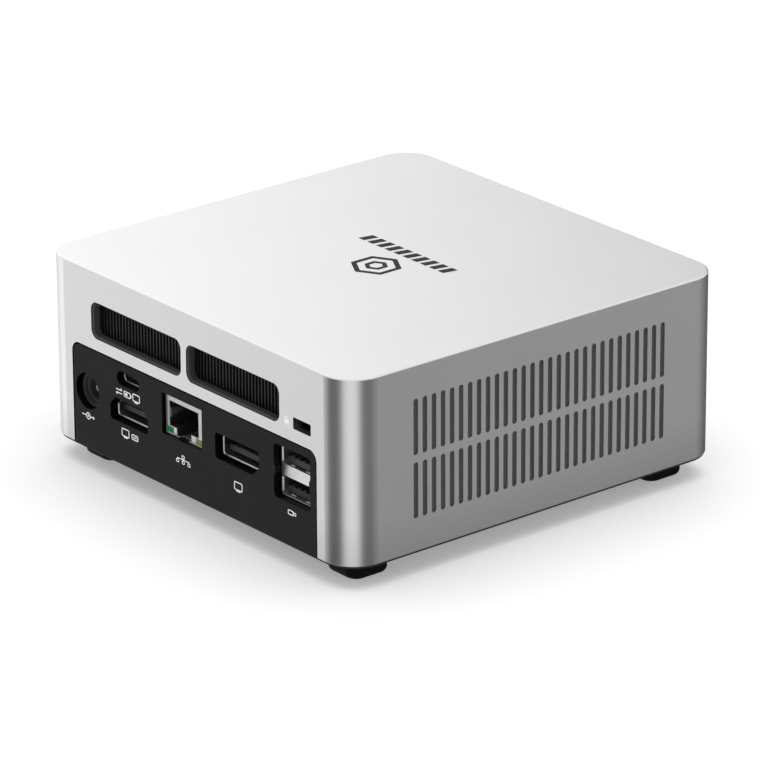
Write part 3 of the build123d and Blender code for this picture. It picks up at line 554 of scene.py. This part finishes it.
def print_panel_marks():
    """Small white pictograms under the sockets, with no lettering."""
    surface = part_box("io_panel")[1].y

    def polarity(bm):
        stroke(bm, ring_points(0.85, 20), LINE, 0, INK, True)
        prism(bm, ring_points(0.33, 12), 0, INK)
        for side in (-1, 1):
            stroke(bm, [(side * 0.85, 0), (side * 1.9, 0)], LINE, 0, INK)
            stroke(bm, [(side * 2.3 - 0.4, 0), (side * 2.3 + 0.4, 0)], LINE, 0, INK)
        stroke(bm, [(2.3, -0.4), (2.3, 0.4)], LINE, 0, INK)

    def many(bm):
        arrows_icon(bm, -3.7)
        battery_icon(bm, -0.2)
        screen_icon(bm, 3.7, 0.95)

    def wide_screen(bm):
        screen_icon(bm, -1.9)
        stroke(bm, shifted(rounded(2.6, 1.3, 0.3, 3), 2.2, 0), LINE, 0, INK, True)
        stroke(bm, [(1.4, 0), (3.0, 0)], LINE, 0, INK)

    def network(bm):
        for x, y in ((0, 0.75), (-2.4, -0.75), (0, -0.75), (2.4, -0.75)):
            stroke(bm, shifted(rounded(0.95, 0.75, 0.12, 2), x, y), 0.22, 0, INK, True)
        stroke(bm, [(0, 0.35), (0, -0.35)], 0.22, 0, INK)
        stroke(bm, [(-2.4, -0.35), (-2.4, 0), (2.4, 0), (2.4, -0.35)], 0.22, 0, INK)

    def small_screen(bm):
        screen_icon(bm, 0, 1.05)

    def stick(bm):
        stroke(bm, shifted(rounded(2.0, 1.1, 0.2, 3), -0.5, 0), LINE, 0, INK, True)
        stroke(bm, shifted(rounded(0.9, 0.7, 0.08, 2), 1.1, 0), 0.22, 0, INK, True)

    marks = {"mark_power": (polarity, 45.0, 9.1), "mark_usb_c": (many, 27.4, 20.3),
             "mark_video_a": (wide_screen, 26.8, 9.1), "mark_network": (network, 3.9, 9.4),
             "mark_video_b": (small_screen, -19.2, 9.2), "mark_usb_a": (stick, -41.2, 9.1)}
    for name, (maker, x, z) in marks.items():
        make_piece(name, maker, "white_ink", place=on_rear(x, z, surface))

    def padlock(bm):
        prism(bm, shifted(rounded(1.8, 1.45, 0.25, 3), 0, -0.45), 0, INK)
        arch = [(0.5 * math.cos(a * math.pi / 8), 0.45 + 0.5 * math.sin(a * math.pi / 8))
                for a in range(9)]
        stroke(bm, [(0.5, 0.1), *arch, (-0.5, 0.1)], 0.3, 0, INK)
    make_piece("mark_lock", padlock, "white_ink", place=on_rear(-39.5, 34.0))


# ------------------------------------------------------------------ sockets
CONTACT_INSET = 0.35                             # tongue's tip to its contacts, mm
USB_A_CONTACTS = (1.1, 6.0, 0.1)                 # width, length, thickness, mm
USB_A_PITCH = 2.3
USB_A_HALF_HEIGHT = 2.4                          # inside of a metal shell
USB_A_LEVELS = (("upper", 4.075), ("lower", -4.075))
USB_A_FRONT = (("left", -8.0), ("right", 12.0))  # centres on the front face
TONGUE_TOP = -0.15                               # below the middle of its shell


def contact_row(name, node, count, pitch, size, mouth_sign, side, shift=0.0):
    """Gold contact strips on one side of a socket's tongue."""
    low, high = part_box(node)
    mouth = high.y if mouth_sign > 0 else low.y
    middle_x = (low.x + high.x) / 2 + shift * MM
    width, length, thick = size

    def strips(bm):
        for i in range(count):
            x = (i - (count - 1) / 2) * pitch
            prism(bm, shifted(rounded(width, length, width * 0.3, 2), x, 0), 0, thick,
                  bevel=thick * 0.4)
    z, facing = side
    origin = (middle_x, mouth - mouth_sign * (length / 2 + CONTACT_INSET) * MM, z)
    place = basis(origin, (facing, 0, 0), (0, 1, 0))
    make_piece(name, strips, "gold_pin", place=place)


def shell_springs(name, x, z, mouth, sign):
    """Four pressed leaves that grip a plug, two above and two below."""
    wall = USB_A_HALF_HEIGHT
    def leaves(bm):
        for level in (-1, 1):
            for side in (-3.1, 3.1):
                path = [(0.9, level * wall), (3.2, level * (wall - 0.42)),
                        (4.6, level * (wall - 0.3)), (6.2, level * wall)]
                before = len(bm.verts)
                stroke(bm, path, 0.16, side - 0.9, side + 0.9)
                swing(bm, before, lambda co: (co.z, -sign * co.x, co.y))
    make_piece(name, leaves, "port_steel",
               place=Matrix.Translation((x, mouth, z)) @ Matrix.Scale(MM, 4))


def dress_flat_sockets():
    """Contacts on both faces of the tongues in the two-sided sockets."""
    sockets = (("usb_c", "rear_usb_c", 1, 12, 0.5, (0.26, 3.2, 0.06), 0.7, 0.0),
               ("front_c", "front_usb_c", -1, 12, 0.5, (0.26, 3.2, 0.06), 0.7, 0.0),
               ("video_a", "video_port_a", 1, 10, 1.0, (0.45, 5.0, 0.1), 1.4, 0.25),
               ("video_b", "video_port_b", 1, 10, 1.0, (0.45, 5.0, 0.1), 1.5, -0.2))
    for label, node, sign, count, pitch, size, thick, rise in sockets:
        low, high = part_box(node + "_shell")
        middle = (low.z + high.z) / 2 + rise * MM
        for facing in (-1, 1):
            contact_row("%s_contacts_%s" % (label, "top" if facing > 0 else "low"),
                        node + "_insert", count, pitch, size, sign,
                        (middle + facing * thick / 2 * MM, facing))


def dress_usb_a():
    """Contacts on top of each tongue and spring leaves in each metal shell."""
    low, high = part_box("rear_usb_a_shell")
    middle = (low.z + high.z) / 2
    for label, level in USB_A_LEVELS:
        z = middle + level * MM
        contact_row("usb_a_%s_contacts" % label, "rear_usb_a_insert", 4, USB_A_PITCH,
                    USB_A_CONTACTS, 1, (z + TONGUE_TOP * MM, 1))
        shell_springs("usb_a_%s_springs" % label, (low.x + high.x) / 2, z, high.y, 1)
    low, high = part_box("front_usb_a_shells")
    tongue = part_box("front_usb_a_inserts")
    z = (low.z + high.z) / 2
    for label, x in USB_A_FRONT:
        shift = x - (tongue[0].x + tongue[1].x) / 2 / MM
        contact_row("front_%s_contacts" % label, "front_usb_a_inserts", 4, USB_A_PITCH,
                    USB_A_CONTACTS, -1, (z + TONGUE_TOP * MM, 1), shift)
        shell_springs("front_%s_springs" % label, x * MM, z, low.y, -1)


def dress_network_jack():
    """Eight slanted contact wires and a pressed side leaf at each wall."""
    low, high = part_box("network_jack_can")
    middle, mouth = (low.x + high.x) / 2 + 0.25 * MM, high.y
    ceiling = low.z + (5.5 + 3.85) * MM

    def wires(bm):
        for i in range(8):
            x = (i - 3.5) * 1.02
            before = len(bm.verts)
            stroke(bm, [(-3.6, -0.1), (-4.2, -0.55), (-10.5, -3.4), (-12.3, -3.3)],
                   0.22, x - 0.17, x + 0.17)
            swing(bm, before, lambda co: (co.z, co.x, co.y))
    make_piece("network_wires", wires, "gold_pin",
               place=Matrix.Translation((middle, mouth, ceiling)) @ Matrix.Scale(MM, 4))

    def leaves(bm):
        for side in (-1, 1):
            x0, x1 = sorted((side * 6.13, side * 6.0))
            outline = [(-0.4, -2.2), (-6.6, -2.9), (-6.6, -3.3), (-0.4, -4.7)]
            before = len(bm.verts)
            prism(bm, outline, x0, x1)
            swing(bm, before, lambda co: (co.z, co.x, co.y))
    make_piece("network_leaves", leaves, "port_metal",
               place=Matrix.Translation((middle, mouth, ceiling)) @ Matrix.Scale(MM, 4))


def dress_power_jack():
    """Curved spring contact along one side of the barrel's bore."""
    low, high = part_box("dc_jack_pin")
    centre = (low + high) / 2
    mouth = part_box("dc_jack")[1].y

    def leaf(bm):
        arc = [(2.98 * math.cos(math.radians(a)), 2.98 * math.sin(math.radians(a)))
               for a in range(152, 209, 7)]
        stroke(bm, arc, 0.14, -7.0, -3.2)
    make_piece("jack_spring", leaf, "cell_steel",
               place=basis((centre.x, mouth, centre.z), (-1, 0, 0), (0, 0, 1)))


# ------------------------------------------------------------------ studio
AZIMUTH, ELEVATION, ROLL = 230.7076, 21.5704, -0.2813   # degrees
CAMERA_PLACE = (-1.049322, 0.857656, 0.551462)   # from the casing's lower edge centre
FOCAL = 258.68                                   # mm, on a 36 mm wide sensor
SUN_ANGLE, SUN_POWER = 62, 1.28                  # the wider, the softer the shadow


def place_camera():
    """Camera aimed by compass, height and roll, at its place beside the machine."""
    a, e, r = (math.radians(v) for v in (AZIMUTH, ELEVATION, ROLL))
    back = Vector((math.sin(a) * math.cos(e), -math.cos(a) * math.cos(e), math.sin(e)))
    right = (-back).cross(Vector((0, 0, 1))).normalized()
    up = right.cross(-back)
    level, tilt = right.copy(), up.copy()
    right = level * math.cos(r) + tilt * math.sin(r)
    up = tilt * math.cos(r) - level * math.sin(r)
    data = bpy.data.cameras.new("camera")
    data.sensor_width = 36.0
    data.lens = FOCAL
    data.clip_start, data.clip_end = 0.05, 50.0
    camera = bpy.data.objects.new("camera", data)
    turn = Matrix((right, up, back)).transposed().to_4x4()
    spot = Vector(CAMERA_PLACE) + Vector((0, 0, EDGE_Z))
    camera.matrix_world = Matrix.Translation(spot) @ turn
    bpy.context.scene.collection.objects.link(camera)
    bpy.context.scene.camera = camera


def lay_floor():
    """Round pale floor, wide enough for every view."""
    bm = bmesh.new()
    bmesh.ops.create_circle(bm, cap_ends=True, segments=96, radius=9.0)
    mesh = bpy.data.meshes.new("floor")
    bm.to_mesh(mesh)
    bm.free()
    floor = bpy.data.objects.new("floor", mesh)
    bpy.context.scene.collection.objects.link(floor)
    s = Shader("floor_white", (0.86, 0.86, 0.86), 0.9)
    s.tint(s.noise(0.4, 2.0), (0.855, 0.855, 0.855), (0.865, 0.865, 0.865))
    s.set("Emission Color", (1.0, 1.0, 1.0, 1.0))
    s.set("Emission Strength", FLOOR_GLOW)
    mesh.materials.append(s.mat)
    floor.visible_glossy = False


def hang_lamp():
    """Wide soft light straight down, which draws the shadow under the casing."""
    data = bpy.data.lights.new("overhead", "SUN")
    data.angle = math.radians(SUN_ANGLE)
    data.energy = SUN_POWER
    lamp = bpy.data.objects.new("overhead", data)
    lamp.visible_glossy = False
    bpy.context.scene.collection.objects.link(lamp)


# Brightness that polished surfaces mirror, by compass direction in degrees about
# +Z from +X, as the light panels and dark flags of the studio stand round it.
LOW_RING = [(-180, 0.10), (-160, 0.12), (-148, 0.30), (-136, 0.35), (-126, 0.33),
            (-116, 0.28), (-104, 0.20), (-90, 0.13), (-70, 0.10), (-48, 0.11), (-34, 0.45),
            (-20, 0.86), (5, 0.93), (20, 1.28), (33, 1.27), (40, 0.66), (47, 0.54), (59, 0.09),
            (98, 0.09), (112, 0.74), (130, 0.90), (152, 0.82), (166, 0.11), (180, 0.10)]
OVERHEAD = 0.94                                  # the same, for directions above HORIZON
HORIZON = (-0.26, 0.2)                           # height where ring turns to overhead
# Brighter and dimmer patches of the overhead panel: compass and height, both
# widths, and how much they add.
PATCHES = [(-39.0, 0.37, 38.0, 0.40, 0.31), (-22.0, 0.40, 14.0, 0.30, 0.50),
           (-53.0, 0.20, 13.0, 0.24, -1.60)]
EVEN_LIGHT = 0.50                                # shadowless fill that matt surfaces get
BOUNCED_LIGHT = 0.12                             # what the casing throws back on the floor
FLOOR_GLOW = 0.30                                # light table under the floor


def light_world():
    """Soft all-round light; reflections see panels and flags as a ring."""
    world = bpy.data.worlds.new("studio")
    bpy.context.scene.world = world
    world.use_nodes = True
    tree = world.node_tree
    nodes, links = tree.nodes, tree.links
    nodes.clear()

    def number(kind, a, b=0.0):
        return math_node(tree, kind, a, b)

    direction = nodes.new("ShaderNodeTexCoord").outputs["Generated"]
    split = nodes.new("ShaderNodeSeparateXYZ")
    links.new(direction, split.inputs[0])
    angle = number("ARCTAN2", split.outputs["Y"], split.outputs["X"])
    share = number("ADD", number("DIVIDE", angle, 2 * math.pi), 0.5)
    ramp = nodes.new("ShaderNodeValToRGB")
    ramp.color_ramp.interpolation = "EASE"
    stops = ramp.color_ramp.elements
    for i, (degrees, tone) in enumerate(LOW_RING):
        place = (degrees + 180) / 360
        stop = stops[i] if i < 2 else stops.new(place)
        stop.position = place
        stop.color = (tone, tone, tone, 1)
    links.new(share, ramp.inputs[0])

    rise = nodes.new("ShaderNodeMapRange")
    rise.interpolation_type = "SMOOTHSTEP"
    links.new(split.outputs["Z"], rise.inputs["Value"])
    rise.inputs["From Min"].default_value = HORIZON[0]
    rise.inputs["From Max"].default_value = HORIZON[1]
    sky = nodes.new("ShaderNodeMix")
    sky.data_type = "RGBA"
    links.new(rise.outputs[0], sky.inputs["Factor"])
    links.new(ramp.outputs[0], sky.inputs[6])
    sky.inputs[7].default_value = (OVERHEAD, OVERHEAD, OVERHEAD, 1)

    def bell(value, centre, width):
        """Smooth bump, 1 at its centre."""
        offset = number("DIVIDE", number("SUBTRACT", value, centre), width)
        return number("EXPONENT", number("MULTIPLY", number("MULTIPLY", offset, offset), -1.0))

    extra = 0.0
    for compass, height, wide, tall, amount in PATCHES:
        spot = number("MULTIPLY", bell(angle, math.radians(compass), math.radians(wide)),
                      bell(split.outputs["Z"], height, tall))
        extra = number("ADD", extra, number("MULTIPLY", spot, amount))
    mirrored = nodes.new("ShaderNodeMix")
    mirrored.data_type = "RGBA"
    mirrored.blend_type = "ADD"
    mirrored.inputs["Factor"].default_value = 1.0
    links.new(sky.outputs[2], mirrored.inputs[6])
    links.new(number("MULTIPLY", extra, rise.outputs[0]), mirrored.inputs[7])

    path = nodes.new("ShaderNodeLightPath")
    shown = mirrored.outputs[2]
    for ray, tone in (("Diffuse Depth", BOUNCED_LIGHT), ("Is Diffuse Ray", EVEN_LIGHT),
                      ("Is Camera Ray", 1.0)):
        choice = nodes.new("ShaderNodeMix")
        choice.data_type = "RGBA"
        links.new(number("MINIMUM", path.outputs[ray], 1.0), choice.inputs["Factor"])
        links.new(shown, choice.inputs[6])
        choice.inputs[7].default_value = (tone, tone, tone, 1)
        shown = choice.outputs[2]
    background = nodes.new("ShaderNodeBackground")
    links.new(shown, background.inputs[0])
    background.inputs[1].default_value = 1.0
    output = nodes.new("ShaderNodeOutputWorld")
    links.new(background.outputs[0], output.inputs[0])


def light_studio():
    light_world()
    hang_lamp()
    bpy.context.scene.view_settings.view_transform = "Standard"


dress_nodes()
print_roof_mark()
print_panel_marks()
dress_flat_sockets()
dress_usb_a()
dress_network_jack()
dress_power_jack()
lay_floor()
light_studio()
place_camera()
